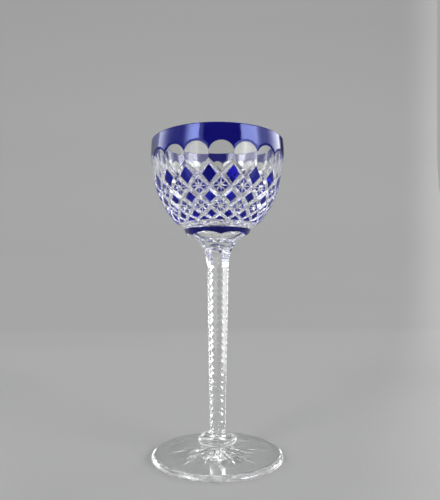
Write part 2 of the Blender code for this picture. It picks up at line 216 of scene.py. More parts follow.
@dataclass(frozen=True)
class Glass:
    """A glass finish: the faint waves and haze of hand polishing, over any satin left by the wheel."""

    name: str
    colour: Colour
    sheen: Colour = (1.0, 1.0, 1.0)
    ior: float = 1.545
    satin: float = 0.0
    haze: float = 0.012
    haze_scale: float = 90.0
    haze_detail: float = 3.0
    haze_span: Span = (0.35, 0.75)
    wave_scale: float = 260.0
    wave_detail: float = 1.0
    wave_height: float = 0.000012

    def material(self) -> Material:
        """Makes the material.

        Returns:
            A Principled glass whose roughness and bump come from noise.
        """
        material = bpy.data.materials.new(self.name)
        wiring = Wiring(material)
        place = wiring.place("Object")
        cloud = wiring.noise(place, self.haze_scale, self.haze_detail)
        wave = wiring.noise(place, self.wave_scale, self.wave_detail)
        wiring.feed(wiring.nodes["Principled BSDF"], {
            "Base Color": (*self.colour, 1),
            "IOR": self.ior,
            "Transmission Weight": 1.0,
            "Specular Tint": (*self.sheen, 1),
            "Roughness": wiring.stretch(cloud, self.haze_span, (self.satin, self.satin + self.haze)),
            "Normal": wiring.add("Bump", {"Strength": 1.0, "Distance": self.wave_height, "Height": wave}),
        })
        return material


@dataclass(frozen=True)
class FusedSeam:
    """The inside of a hot-fused joint, which light crosses unbent."""

    name: str = "fused_seam"

    def material(self) -> Material:
        """Makes the material.

        Returns:
            A clear material that neither bends nor mirrors light.
        """
        material = bpy.data.materials.new(self.name)
        wiring = Wiring(material)
        wiring.nodes.remove(wiring.nodes["Principled BSDF"])
        wiring.show(wiring.add("BsdfTransparent", {"Color": (1, 1, 1, 1)}), "Material Output")
        return material


@dataclass(frozen=True)
class Paper:
    """The studio paper under and behind the glass, its grey darkened upwards by painted shade.

    Each tone is a height with the paper's grey there, and the greys darken upwards as painted shade. A painted
    pool of lamp light lightens the paper's colour to both sides of the glass, where the lamps stand. Where
    they stand, and in front of its front edge, it shows to the camera alone: the glass mirrors the lamps
    there, down to its own foot.
    """

    name: str = "studio_paper"
    # Painted shade: the grey falls from the floor up the sweep, where less light falls.
    tones_with_painted_shade: Stops = ((0.0, 0.394), (0.012, 0.345), (0.067, 0.316), (0.2, 0.288), (0.58, 0.289), (0.88, 0.263))
    green_cast: float = 1.012
    top: float = 1.2
    roughness: float = 0.9
    gloss: float = 0.1
    lamp_shift: float = 0.02
    lamp_spread: float = 0.49
    # Painted light: where and how much the paper's colour is lightened, as a pool of lamp light to each side.
    painted_lamp_glow: Span = (0.09, 0.23)
    painted_lamp_gain: float = 1.35
    lamp_edge: Span = (0.09, 0.13)
    lamp_turn: float = 0.36
    lamp_front: Span = (-0.012, 0.004)
    front_edge: Span = (-0.262, -0.258)
    fibre_scale: float = 900.0
    fibre_detail: float = 2.0
    fibre_contrast: float = 0.09

    def material(self) -> Material:
        """Makes the material.

        Returns:
            A matt paper with a faint fibre pattern, darkened upwards by painted shade and lightened to both
            sides by a painted pool of lamp light.
        """
        material = bpy.data.materials.new(self.name)
        wiring = Wiring(material)
        place = wiring.place("Object")
        across, along, up = wiring.split(place)
        side = wiring.math("ABSOLUTE", wiring.math("ADD", across, self.lamp_shift))
        lamp = wiring.math("MULTIPLY_ADD", along, -self.lamp_spread, side)
        abreast = wiring.math("MULTIPLY_ADD", side, self.lamp_turn, along)

        # Painted shade: this ramp darkens the paper's colour with height.
        tones_with_painted_shade = [(height / self.top, (shade, shade * self.green_cast, shade)) for height, shade in self.tones_with_painted_shade]
        painted_shade_tone = wiring.ramp(wiring.stretch(up, (0.0, self.top)), tones_with_painted_shade)
        fibre = wiring.noise(place, self.fibre_scale, self.fibre_detail)
        grain = wiring.stretch(fibre, (0.0, 1.0), (1 - self.fibre_contrast, 1 + self.fibre_contrast))
        # Painted light: the paper's colour is raised towards both sides of the glass, a painted pool of lamp
        # light.
        painted_glow = wiring.rise(lamp, self.painted_lamp_glow, (1.0, self.painted_lamp_gain))
        grain_and_painted_glow = wiring.math("MULTIPLY", grain, painted_glow)
        sheet = wiring.nodes["Principled BSDF"]
        wiring.feed(sheet, {
            "Base Color": wiring.add("VectorMath", {"Vector": painted_shade_tone, "Scale": grain_and_painted_glow}, operation="SCALE"),
            "Roughness": self.roughness,
            "Specular IOR Level": self.gloss,
        })

        beside = wiring.rise(lamp, self.lamp_edge)
        behind = wiring.rise(abreast, self.lamp_front)
        lamps = wiring.math("MULTIPLY", beside, behind)
        laid = wiring.math("SUBTRACT", wiring.rise(along, self.front_edge), lamps)
        shown = wiring.math("MAXIMUM", laid, wiring.camera_ray())
        clear = wiring.add("BsdfTransparent", {})
        surface = wiring.add("MixShader", {"Fac": shown, 1: clear, 2: sheet.outputs["BSDF"]})
        wiring.show(surface, "Material Output")
        return material


class Draft:
    """A closed mesh in the making."""

    SHARP_ANGLE = math.radians(12)
    WELD = 1e-7

    def __init__(self) -> None:
        """Starts an empty mesh."""
        self.bm: BMesh = bmesh.new()

    def points(self, places: Iterable[Vector]) -> Ring:
        """Adds points and returns their vertices."""
        return [self.bm.verts.new(place) for place in places]

    def rings(self, sections: Iterable[Iterable[Vector]]) -> list[Ring]:
        """Adds rings of points and returns their vertices."""
        return [self.points(section) for section in sections]

    def face(self, verts: Sequence[BMVert], finish: Face = Face.GLASS, smooth: bool = False) -> None:
        """Adds a face.

        Args:
            verts: Its corners in order.
            finish: Whether it shows glass, is a seam or is a mitre cut.
            smooth: Whether it shades smoothly into its neighbours.
        """
        made = self.bm.faces.new(verts)
        made.material_index = int(finish)
        made.smooth = smooth

    def bridge(self, first: Ring, second: Ring, finish: Face = Face.GLASS, smooth: bool = True) -> None:
        """Joins two closed rings of equally many points with a band of faces."""
        for (here, there), (below, beyond) in zip(pairs(first), pairs(second)):
            self.face((here, there, beyond, below), finish, smooth)

    def loft(self, rings: Sequence[Ring], finish: Face = Face.GLASS, smooth: bool = True) -> None:
        """Bridges each ring to the next."""
        for first, second in zip(rings, rings[1:]):
            self.bridge(first, second, finish, smooth)

    def fan(self, ring: Ring, height: float, finish: Face = Face.GLASS, smooth: bool = True) -> None:
        """Closes a ring with triangles to one point of the glass's axis.

        Args:
            ring: The ring to close.
            height: The point's height.
            finish: Whether the fan shows glass or is a seam.
            smooth: Whether the fan shades smoothly.
        """
        (middle,) = self.points([Vector((0, 0, height))])
        for vert, following in pairs(ring):
            self.face((vert, following, middle), finish, smooth)

    def chip(self, top: Iterable[Vector], foot: Iterable[Vector]) -> None:
        """Adds a flat chip of casing with cut sides and a seam under it.

        Args:
            top: Its outer corners.
            foot: Its seam's corners, in the same order.
        """
        upper, lower = self.rings((top, foot))
        self.face(upper)
        self.face(lower, Face.SEAM)
        self.bridge(upper, lower, smooth=False)

    def piece(self, name: str, slot: Slot, finishes: Sequence[Material]) -> Object:
        """Turns the mesh to face out and makes it a piece that rides on the glass.

        Args:
            name: The piece's name.
            slot: The record's slot for the piece; not used.
            finishes: The piece's finishes, in the order of Face.

        Returns:
            The piece's object.
        """
        bmesh.ops.remove_doubles(self.bm, verts=self.bm.verts, dist=self.WELD)
        bmesh.ops.recalc_face_normals(self.bm, faces=self.bm.faces)
        open_edges = sum(len(edge.link_faces) != 2 for edge in self.bm.edges)
        mesh = bpy.data.meshes.new(name)
        self.bm.to_mesh(mesh)
        self.bm.free()
        mesh.set_sharp_from_angle(angle=self.SHARP_ANGLE)
        for finish in finishes:
            mesh.materials.append(finish)
        piece = bpy.data.objects.new(name, mesh)
        bpy.context.scene.collection.objects.link(piece)
        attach(piece, BODY)
        LOG.info("%s: %d faces, %d open edges", name, len(mesh.polygons), open_edges)
        return piece


@dataclass(frozen=True)
class Wall:
    """The bowl's outside: one ellipse, turned about the glass's axis."""

    radius: float = 0.0402
    depth: float = 0.0520
    belly: float = 0.1820

    def sunk(self, by: float) -> "Wall":
        """Gives the surface that lies a depth inside this one."""
        return Wall(self.radius - by, self.depth - by, self.belly)

    def radius_at(self, height: float) -> float:
        """Gives the radius at a height."""
        return self.radius * math.sqrt(1 - ((height - self.belly) / self.depth) ** 2)

    def point(self, angle: float, height: float, sink: float = 0.0) -> Vector:
        """Gives a point of the wall.

        Args:
            angle: Its angle about the axis.
            height: Its height before it is sunk.
            sink: How far it lies inside the wall, square to it.

        Returns:
            The point.
        """
        radius = self.radius_at(height)
        across = radius / self.radius**2
        up = (height - self.belly) / self.depth**2
        length = math.hypot(across, up)
        return polar(radius - sink * across / length, angle, height - sink * up / length)


@dataclass(frozen=True)
class Flutes:
    """The flat flutes round the top of the bowl, whose upper ends arch the cobalt rim band."""

    wall: Wall
    columns: int = 18
    arch_top: float = 0.1815
    cusp: float = 0.1780
    hollow_radius: float = 0.0950
    arch_steps: int = 12
    search_room: float = 0.004
    halvings: int = 40

    @property
    def column_angle(self) -> float:
        """The angle that one flute takes."""
        return TURN / self.columns

    @property
    def half_column(self) -> float:
        """Half the angle that one flute takes."""
        return self.column_angle / 2

    @property
    def count(self) -> int:
        """How many points a ring along the arches has."""
        return self.columns * self.arch_steps

    @property
    def slope(self) -> float:
        """How far a flute leans in for each unit of height.

        Returns:
            The lean that takes it from the top of its arch to the cusps.
        """
        top = self.wall.radius_at(self.arch_top)
        cusp = self.wall.radius_at(self.cusp) * math.cos(self.half_column)
        return (top - cusp) / (self.arch_top - self.cusp)

    def radius_at(self, offset: float, height: float) -> float:
        """Gives a flute's radius.

        Args:
            offset: The angle from the flute's middle.
            height: The height.

        Returns:
            The radius there, with the flute's hollow.
        """
        flat = self.wall.radius_at(self.arch_top) - self.slope * (self.arch_top - height)
        hollow = (self.arch_top - height) * (self.cusp - height) / (2 * self.hollow_radius)
        return (flat + hollow) / math.cos(offset)

    def arch_height(self, offset: float, sink: float = 0.0) -> float:
        """Finds where a flute leaves a surface of the bowl.

        Args:
            offset: The angle from the flute's middle.
            sink: How far that surface lies inside the wall.

        Returns:
            The height at which the flute meets it.
        """
        wall = self.wall.sunk(sink)
        low, high = self.cusp - self.search_room, self.arch_top + self.search_room
        for _ in range(self.halvings):
            middle = (low + high) / 2
            if self.radius_at(offset, middle) < wall.radius_at(middle):
                low = middle
            else:
                high = middle
        return (low + high) / 2

    def offsets(self) -> list[Span]:
        """Lists the points of a ring along the arches.

        Returns:
            Each point's angle, with its offset from the middle of its flute.
        """
        offsets = [(2 * step / self.arch_steps - 1) * self.half_column for step in range(self.arch_steps)]
        middles = [column * self.column_angle for column in range(self.columns)]
        return [(middle + offset, offset) for middle in middles for offset in offsets]

    def angles(self) -> list[float]:
        """Lists the angles of a ring along the arches."""
        return [angle for angle, _ in self.offsets()]

    def arch(self, sink: float = 0.0) -> list[Vector]:
        """Gives the points along the arches.

        Args:
            sink: How far their surface lies inside the wall.

        Returns:
            The ring of points.
        """
        ring = []
        for angle, offset in self.offsets():
            height = self.arch_height(offset, sink)
            ring.append(polar(self.radius_at(offset, height), angle, height))
        return ring


@dataclass(frozen=True)
class Lip:
    """The rounded rim."""

    wall: Wall
    top: float = 0.1900
    thickness: float = 0.0016

    @property
    def round_radius(self) -> float:
        """The radius of the rim's rounding."""
        return self.thickness / 2

    @property
    def shoulder(self) -> float:
        """The height at which the rounding starts."""
        return self.top - self.round_radius

    def section(self, turn: float) -> tuple[float, float]:
        """Gives the radius and height of the rounding at a turn from its outer side."""
        middle = self.wall.radius_at(self.shoulder) - self.round_radius
        return middle + self.round_radius * math.cos(turn), self.shoulder + self.round_radius * math.sin(turn)

    def casing_turn(self, thickness: float) -> float:
        """Gives the turn at which a casing of a thickness ends on the rounding."""
        return math.acos(1 - thickness / self.round_radius)


@dataclass(frozen=True)
class Lattice:
    """The mitre cuts that cross below the flutes, and the tiles that they leave."""

    wall: Wall
    flutes: Flutes
    top: float = 0.1694
    foot: float = 0.1406
    crowding: float = 1.35
    groove_depth: float = 0.0016
    star_depth: float = 0.0010
    star_hub: float = 0.56
    ray_widths: tuple[float, float] = (0.11, 0.25)
    ray_depths: tuple[float, float] = (0.00032, 0.00070)
    shares: dict[int, Span] = field(default_factory=lambda: {
        1: (0.54, 0.74), 2: (0.70, 0.66), 3: (0.48, 0.48), 4: (0.68, 0.66), 5: (0.50, 0.58),
    })
    half_share: Span = (2 / 3, 0.66)
    plain_rows: tuple[int, ...] = (1, 3, 5)
    star_rows: tuple[int, ...] = (2, 4)

    @property
    def levels(self) -> int:
        """How many levels of crossings lie below the first."""
        return len(self.shares) + 1

    @property
    def half_columns(self) -> int:
        """How many half columns go round the bowl."""
        return 2 * self.flutes.columns

    def columns(self, row: int) -> range:
        """Lists the half columns at which a row's cells have their middles."""
        return range(row % 2, self.half_columns, 2)

    def level(self, number: float) -> float:
        """Gives the height of a level of crossings, counted from the top."""
        return self.foot + (self.top - self.foot) * (1 - number / self.levels) ** self.crowding

    def angle(self, half_column: float) -> float:
        """Gives the angle of a half column."""
        return half_column * self.flutes.half_column

    def crossing(self, level: int, half_column: int) -> Vector:
        """Gives the point at the bottom of two grooves that cross."""
        return self.wall.point(self.angle(half_column), self.level(level), self.groove_depth)

    def cell(self, row: int, half_column: int) -> list[tuple[int, int]]:
        """Lists a cell's crossings as level and half column: top, right, bottom and left."""
        return [(row - 1, half_column), (row, half_column + 1), (row + 1, half_column), (row, half_column - 1)]

    def tile_corners(self, row: int, half_column: int, sink: float) -> list[Vector]:
        """Finds a tile's corners on the slopes of the grooves round it.

        Args:
            row: The tile's row.
            half_column: The half column of its middle.
            sink: How deep the corners lie on the slopes.

        Returns:
            The top, right, bottom and left corners.
        """
        across, up = self.shares[row]
        middle = self.level(row)
        found = []
        for level, column in self.cell(row, half_column):
            angle = self.angle(half_column + across * (column - half_column))
            height = middle + up * (self.level(level) - middle)
            share = sink / self.groove_depth
            found.append(self.wall.point(angle, height).lerp(self.crossing(level, column), share))
        return found

    def star(self, row: int, half_column: int, sink: float) -> "Star":
        """Gives the star cut into a tile, as it stands at a depth in the casing.

        Args:
            row: The tile's row.
            half_column: The half column of its middle.
            sink: The depth, down the rays and down the slopes round the tile.

        Returns:
            The star's points.
        """
        middle = self.wall.point(self.angle(half_column), self.level(row))
        hub = self.wall.point(self.angle(half_column), self.level(row), self.star_depth)
        tips = Star.ring(self.tile_corners(row, half_column, 0.0))
        bottoms = Star.ring([self.crossing(level, column) for level, column in self.cell(row, half_column)])
        ends, chips, before, after = [], [], [], []
        for ray, tip in enumerate(tips):
            previous, following = tips[ray - 1], tips[(ray + 1) % len(tips)]
            width, depth = self.ray_widths[ray % 2], self.ray_depths[ray % 2]
            end = tip.lerp(bottoms[ray], depth / self.groove_depth)
            chip = middle.lerp((tip + following) / 2, self.star_hub)
            ends.append(end)
            before.append(tip.lerp(previous, width).lerp(end, sink / depth))
            after.append(tip.lerp(following, width).lerp(end, sink / depth))
            chips.append(chip.lerp(hub, sink / self.star_depth))
        return Star(hub, ends, chips, before, after)

    def half_tile(self, half_column: int, sink: float) -> list[Vector]:
        """Finds the corners of a triangle above the ring groove.

        Args:
            half_column: The half column of its middle.
            sink: How deep the corners lie on the slopes.

        Returns:
            The peak and the left and right corners.
        """
        across, up = self.half_share
        angle = self.angle(half_column)
        spread = across * self.flutes.half_column
        below = self.levels - 1
        peak = self.wall.point(angle, self.foot + up * (self.level(below) - self.foot))
        share = sink / self.groove_depth
        found = [peak.lerp(self.crossing(below, half_column), share)]
        for side in (-1, 1):
            corner = self.wall.point(angle + side * spread, self.foot)
            found.append(corner.lerp(self.crossing(self.levels, half_column + side), share))
        return found


@dataclass(frozen=True)
class Star:
    """An eight-ray star at one depth, its rays in turn to a corner and to the middle of a side.

    Attributes:
        hub: The deepest point, in the middle.
        ends: Each ray's lowest point at the tile's edge.
        chips: The corner between each ray and the next.
        before: Each ray's shoulder at the tile's edge, towards the ray before.
        after: Each ray's shoulder at the tile's edge, towards the next ray.
    """

    hub: Vector
    ends: list[Vector]
    chips: list[Vector]
    before: list[Vector]
    after: list[Vector]

    @staticmethod
    def ring(corners: Sequence[Vector]) -> list[Vector]:
        """Adds the middles of a tile's sides to its corners.

        Args:
            corners: The corners in order.

        Returns:
            The corners and the middles in order.
        """
        found = []
        for corner, following in pairs(corners):
            found += [corner, (corner + following) / 2]
        return found


@dataclass(frozen=True)
class Base:
    """The bowl's base: a collar, the cobalt ring below it, and the petals that the stem's flats cut in it."""

    floor: float = 0.13115
    origin: float = 0.1313
    radius: float = 0.0202
    taper: float = 0.45
    collar_lift: float = 0.0077
    ring_lift: float = 0.0060
    petal_lift: float = 0.0037
    throat: float = 0.0120

    @property
    def spread(self) -> float:
        """How far the underside's flats spread for their height."""
        return (self.radius_at(self.petal_lift) - self.throat) / self.petal_lift

    def radius_at(self, lift: float) -> float:
        """Gives the ring's radius at a lift above the base."""
        return self.radius - self.taper * (self.ring_lift - lift)

    def petal(self, angle: float, sink: float) -> Vector:
        """Gives the point where the underside's flats meet the ring.

        Args:
            angle: The angle about the axis.
            sink: How far inside the ring the met surface lies.

        Returns:
            The point.
        """
        reach = Stem.flat_reach(angle)
        start = self.radius_at(0.0) - sink
        lift = (start - self.throat * reach) / (self.spread * reach - self.taper)
        return polar(self.radius_at(lift) - sink, angle, self.origin + lift)


@dataclass
class Finishes:
    """The materials that the glass is dressed in."""

    crystal: Material
    cobalt: Material
    deep_cobalt: Material
    seam: Material
    mitre: Material

    @classmethod
    def make(cls) -> "Finishes":
        """Makes each finish once.

        Returns:
            The finishes.
        """
        crystal = Glass("cut_crystal", (0.985, 0.99, 0.99))
        mitre = Glass("satin_crystal", crystal.colour, satin=0.22, haze=0.05)
        cobalt = Glass("cobalt_overlay", (0.00016, 0.00012, 0.14), sheen=(0.38, 0.46, 1.0))
        deep_cobalt = Glass("deep_cobalt_overlay", (0.00006, 0.00005, 0.035), sheen=(0.34, 0.40, 1.0))
        finishes = (crystal, cobalt, deep_cobalt, FusedSeam(), mitre)
        return cls(*(finish.material() for finish in finishes))

    def clear(self) -> list[Material]:
        """Gives the finishes of a crystal piece."""
        return [self.crystal, self.seam]

    def lattice(self) -> list[Material]:
        """Gives the finishes of the bowl, whose mitre cuts keep the wheel's satin."""
        return [self.crystal, self.seam, self.mitre]

    def blue(self) -> list[Material]:
        """Gives the finishes of a cobalt piece."""
        return [self.cobalt, self.seam]

    def deep_blue(self) -> list[Material]:
        """Gives the finishes of the base ring, whose casing is thicker and so darker."""
        return [self.deep_cobalt, self.seam]


@dataclass
class Bowl:
    """The cut bowl: crystal with its rim band, tiles, star tiles, triangles and base ring in cobalt."""

    finishes: Finishes
    wall: Wall = field(default_factory=Wall)
    base: Base = field(default_factory=Base)
    casing: float = 0.00025
    inner_floor: float = 0.1390
    inner_rings: int = 40
    lip_steps: int = 20
    band_rings: int = 8
    tile_steps: int = 6
    flute_tail: float = 0.0018
    flute_rings: int = 10

    def __post_init__(self) -> None:
        """Sets the cuts that follow from the wall."""
        self.flutes = Flutes(self.wall)
        self.lip = Lip(self.wall)
        self.lattice = Lattice(self.wall, self.flutes)
        self.seat = self.casing + SEAM_ROOM

    def rim_rings(self, sink: float) -> list[list[Vector]]:
        """Gives the rings of a surface of the rim band, from the arches up to the rim's rounding.

        Args:
            sink: How far the surface lies inside the wall.

        Returns:
            The rings, the lowest first.
        """
        wall = self.wall.sunk(sink)
        arch = self.flutes.arch(sink)
        rings = [arch]
        for share in steps(self.band_rings)[1:]:
            ring = []
            for (angle, _), foot in zip(self.flutes.offsets(), arch):
                height = foot.z + (self.lip.shoulder - foot.z) * share
                ring.append(polar(wall.radius_at(height), angle, height))
            rings.append(ring)
        return rings

    def lip_rings(self, start: float, end: float) -> list[list[Vector]]:
        """Gives rings of the rim's rounding.

        Args:
            start: The turn of the first ring, from the outer side.
            end: The turn of the last ring.

        Returns:
            The rings in order.
        """
        rings = []
        for share in steps(self.lip_steps):
            radius, height = self.lip.section(start + (end - start) * share)
            rings.append(circle(radius, self.flutes.angles(), height))
        return rings

    def build_rim_band(self) -> None:
        """Builds the cobalt rim band with its arched lower edge."""
        draft = Draft()
        end = self.lip.casing_turn(self.casing)
        outer = draft.rings(self.rim_rings(0.0) + self.lip_rings(0.0, end)[1:])
        inner = draft.rings(self.rim_rings(self.casing))
        draft.loft(outer)
        draft.loft([outer[-1], *inner[::-1]], Face.SEAM)
        draft.bridge(inner[0], outer[0], smooth=False)
        piece = draft.piece("rim_band", Slot.COBALT, self.finishes.blue())
        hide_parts("cobalt_rim_band")

    def build_tiles(self, row: int, place: str) -> None:
        """Builds a row of plain cobalt tiles.

        Args:
            row: The row, counted from the top.
            place: The row's name in the frame.
        """
        draft = Draft()
        for half_column in self.lattice.columns(row):
            self.add_tile(draft, row, half_column)
        piece = draft.piece(f"tiles_{place}", Slot.COBALT, self.finishes.blue())
        nodes = [f"cobalt_tile_{place}_{column + 1:02}" for column in range(self.flutes.columns)]
        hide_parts(*nodes)

    def add_tile(self, draft: Draft, row: int, half_column: int) -> None:
        """Adds one plain tile: a curved outside, four cut edges and a seam.

        Args:
            draft: The row's mesh.
            row: The tile's row.
            half_column: The half column of its middle.
        """
        top, right, bottom, left = self.lattice.tile_corners(row, half_column, 0.0)
        count = self.tile_steps
        grid = []
        for down in steps(count):
            start, end = top.lerp(left, down), right.lerp(bottom, down)
            line = [start.lerp(end, across) for across in steps(count)]
            if 0 < down < 1:
                line[1:-1] = [self.on_wall(place) for place in line[1:-1]]
            grid.append(draft.points(line))
        for upper, lower in zip(grid, grid[1:]):
            for index in range(count):
                draft.face((upper[index], upper[index + 1], lower[index + 1], lower[index]), smooth=True)
        edge = grid[0][:-1] + [line[-1] for line in grid[:-1]]
        edge += grid[-1][:0:-1] + [line[0] for line in grid[:0:-1]]
        below = draft.points(self.lattice.tile_corners(row, half_column, self.casing))
        draft.face(below, Face.SEAM)
        for side, (here, there) in enumerate(pairs(below)):
            along = [edge[(side * count + step) % len(edge)] for step in range(count + 1)]
            draft.face([*along, there, here])

    def on_wall(self, place: Vector) -> Vector:
        """Moves a point out to the wall at its own height."""
        share = self.wall.radius_at(place.z) / math.hypot(place.x, place.y)
        return Vector((place.x * share, place.y * share, place.z))

    def build_star_tiles(self, row: int, place: str) -> None:
        """Builds a row of star-cut cobalt tiles.

        Args:
            row: The row, counted from the top.
            place: The row's place among its kind.
        """
        draft = Draft()
        for half_column in self.lattice.columns(row):
            stars = [self.lattice.star(row, half_column, sink) for sink in (0.0, self.casing)]
            for ray, following in pairs(range(len(stars[0].ends))):
                draft.chip(*((star.after[ray], star.before[following], star.chips[ray]) for star in stars))
        draft.piece(f"star_tiles_{place}", Slot.COBALT, self.finishes.blue())

    def build_triangles(self) -> None:
        """Builds the small cobalt triangles above the ring groove."""
        draft = Draft()
        for half_column in self.lattice.columns(0):
            draft.chip(*(self.lattice.half_tile(half_column, sink) for sink in (0.0, self.casing)))
        draft.piece("base_triangles", Slot.COBALT, self.finishes.blue())

    def build_base_ring(self) -> None:
        """Builds the cobalt base ring with its petalled lower edge."""
        draft = Draft()
        base = self.base
        angles = turns(self.flutes.count)
        top = base.origin + base.ring_lift
        sinks = (0.0, self.casing)
        outer_top, inner_top = draft.rings(circle(base.radius - sink, angles, top) for sink in sinks)
        outer_foot, inner_foot = draft.rings([base.petal(angle, sink) for angle in angles] for sink in sinks)
        draft.bridge(outer_top, outer_foot)
        draft.bridge(inner_top, inner_foot, Face.SEAM)
        draft.bridge(outer_top, inner_top, Face.SEAM)
        draft.bridge(outer_foot, inner_foot)
        piece = draft.piece("base_ring", Slot.COBALT, self.finishes.deep_blue())
        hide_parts("cobalt_base_ring")

    def build_crystal(self) -> None:
        """Builds the clear bowl."""
        draft = Draft()
        crossings = self.add_lattice(draft)
        arch = self.add_flutes(draft, crossings)
        self.add_inside(draft, arch)
        lower_edge = self.add_half_cells(draft, crossings)
        self.add_base(draft, lower_edge)
        piece = draft.piece("bowl_crystal", Slot.CRYSTAL, self.finishes.lattice())
        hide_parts("bowl")

    def add_lattice(self, draft: Draft) -> Crossings:
        """Adds the mitre slopes and the tiles' seats.

        Args:
            draft: The bowl's mesh.

        Returns:
            The crossings' vertices by level and half column.
        """
        lattice = self.lattice
        crossings = {}
        for level in range(lattice.levels + 1):
            for half_column in lattice.columns(level + 1):
                place = lattice.crossing(level, half_column)
                (crossings[level, half_column],) = draft.points([place])
        for row in lattice.shares:
            for half_column in lattice.columns(row):
                cell = lattice.cell(row, half_column)
                bottoms = [crossings[level, column % lattice.half_columns] for level, column in cell]
                if row in lattice.plain_rows:
                    pad = draft.points(lattice.tile_corners(row, half_column, self.seat))
                    draft.face(pad, Face.SEAM)
                    sides = pairs(pad)
                else:
                    sides = self.add_star_seat(draft, row, half_column)
                for (bottom, following), along in zip(pairs(bottoms), sides):
                    draft.face([bottom, *along, following], Face.MITRE)
        return crossings

    def add_star_seat(self, draft: Draft, row: int, half_column: int) -> list[Ring]:
        """Adds a star tile's seats and the part of its rays that lies in the crystal.

        Args:
            draft: The bowl's mesh.
            row: The tile's row.
            half_column: The half column of its middle.

        Returns:
            The vertices along each side of the tile.
        """
        star = self.lattice.star(row, half_column, self.seat)
        (hub,) = draft.points([star.hub])
        ends, chips = draft.points(star.ends), draft.points(star.chips)
        before, after = draft.points(star.before), draft.points(star.after)
        count = len(ends)
        for ray, following in pairs(range(count)):
            draft.face((after[ray], before[following], chips[ray]), Face.SEAM)
            draft.face((hub, ends[ray], after[ray], chips[ray]))
            draft.face((hub, chips[ray], before[following], ends[following]))
        sides = []
        for corner in range(0, count, 2):
            middle, following = corner + 1, (corner + 2) % count
            side = [ends[corner], after[corner], before[middle], ends[middle]]
            sides.append(side + [after[middle], before[following], ends[following]])
        return sides

    def add_flutes(self, draft: Draft, crossings: Crossings) -> Ring:
        """Adds the flutes between the rim band's arches and the lattice.

        Args:
            draft: The bowl's mesh.
            crossings: The lattice's crossings.

        Returns:
            The ring of vertices along the arches.
        """
        flutes = self.flutes
        lattice = self.lattice
        heights = [self.flute_foot(offset) for _, offset in flutes.offsets()]
        rings = [draft.points(flutes.arch(self.seat))]
        for share in steps(self.flute_rings)[1:]:
            ring = []
            for (angle, offset), top, foot in zip(flutes.offsets(), rings[0], heights):
                height = top.co.z + (foot - top.co.z) * share
                ring.append(polar(flutes.radius_at(offset, height), angle, height))
            rings.append(draft.points(ring))
        draft.loft(rings)
        half = flutes.arch_steps // 2
        for half_column in range(lattice.half_columns):
            along = [rings[-1][(half_column * half + step) % flutes.count] for step in range(half + 1)]
            odd = half_column % 2
            ridge = crossings[0, half_column if odd else (half_column - 1) % lattice.half_columns]
            tail = crossings[1, half_column - odd]
            draft.face([*along, ridge, tail] if odd else [*along, tail, ridge])
        return rings[0]

    def flute_foot(self, offset: float) -> float:
        """Gives the height at which the lattice cuts a flute off."""
        share = abs(offset) / self.flutes.half_column
        return self.lattice.level(1 - share) + self.flute_tail

    def add_inside(self, draft: Draft, arch: Ring) -> None:
        """Adds the rim band's seat, the rim and the smooth inside.

        Args:
            draft: The bowl's mesh.
            arch: The ring of vertices along the arches.
        """
        start = self.lip.casing_turn(self.casing)
        seat = [arch, *draft.rings(self.rim_rings(self.seat)[1:])]
        rings = draft.rings(self.lip_rings(start, math.pi))
        draft.loft([*seat, rings[0]], Face.SEAM)
        inner_radius, inner_top = self.lip.section(math.pi)
        depth = inner_top - self.inner_floor
        for share in steps(self.inner_rings)[1:-1]:
            turn = share * QUARTER
            radius = inner_radius * math.cos(turn)
            height = inner_top - depth * math.sin(turn)
            rings.append(draft.points(circle(radius, self.flutes.angles(), height)))
        draft.loft(rings)
        draft.fan(rings[-1], self.inner_floor)

    def add_half_cells(self, draft: Draft, crossings: Crossings) -> list[tuple[int, BMVert]]:
        """Adds the slopes round the small triangles, and their seats.

        Args:
            draft: The bowl's mesh.
            crossings: The lattice's crossings.

        Returns:
            The lattice's lower edge: for each vertex, the ring point under it.
        """
        lattice = self.lattice
        lower_edge = []
        per_half = self.flutes.arch_steps // 2
        corner = round(lattice.half_share[0] * per_half)
        for half_column in lattice.columns(0):
            peak, left, right = draft.points(lattice.half_tile(half_column, self.seat))
            above = crossings[lattice.levels - 1, half_column]
            before = crossings[lattice.levels, (half_column - 1) % lattice.half_columns]
            after = crossings[lattice.levels, half_column + 1]
            draft.face((peak, left, right), Face.SEAM)
            draft.face((above, before, left, peak), Face.MITRE)
            draft.face((above, peak, right, after), Face.MITRE)
            middle = half_column * per_half
            lower_edge += [(middle - corner, left), (middle + corner, right), (middle + per_half, after)]
        return lower_edge

    def add_base(self, draft: Draft, lower_edge: list[tuple[int, BMVert]]) -> None:
        """Adds the ledge, the collar, the base ring's seat and the petalled underside.

        Args:
            draft: The bowl's mesh.
            lower_edge: The lattice's lower edge, with the ring point under each vertex.
        """
        base = self.base
        angles = turns(self.flutes.count)
        count = len(angles)
        collar = draft.points(circle(base.radius, angles, base.origin + base.collar_lift))
        for (here, vert), (there, following) in pairs(lower_edge):
            span = (there - here) % count
            below = [collar[(here + step) % count] for step in range(span, -1, -1)]
            draft.face([vert, following, *below])
        ring_top = base.origin + base.ring_lift + SEAM_ROOM
        floor = base.floor + SEAM_ROOM
        collar_foot = draft.points(circle(base.radius, angles, ring_top))
        seat_top = draft.points(circle(base.radius - self.seat, angles, ring_top))
        seat_foot = draft.points(base.petal(angle, self.seat) for angle in angles)
        throat = draft.points(Stem.flats(base.throat, angles, floor))
        draft.bridge(collar, collar_foot)
        draft.bridge(collar_foot, seat_top, Face.SEAM)
        draft.bridge(seat_top, seat_foot, Face.SEAM)
        draft.bridge(seat_foot, throat)
        draft.fan(throat, floor, Face.SEAM)

    def build(self) -> None:
        """Builds every piece of the bowl."""
        self.build_crystal()
        self.build_rim_band()
        for row, place in zip(self.lattice.plain_rows, ("upper", "middle", "lower")):
            self.build_tiles(row, place)
        for row, place in zip(self.lattice.star_rows, ("upper", "lower")):
            self.build_star_tiles(row, place)
        self.build_triangles()
        self.build_base_ring()


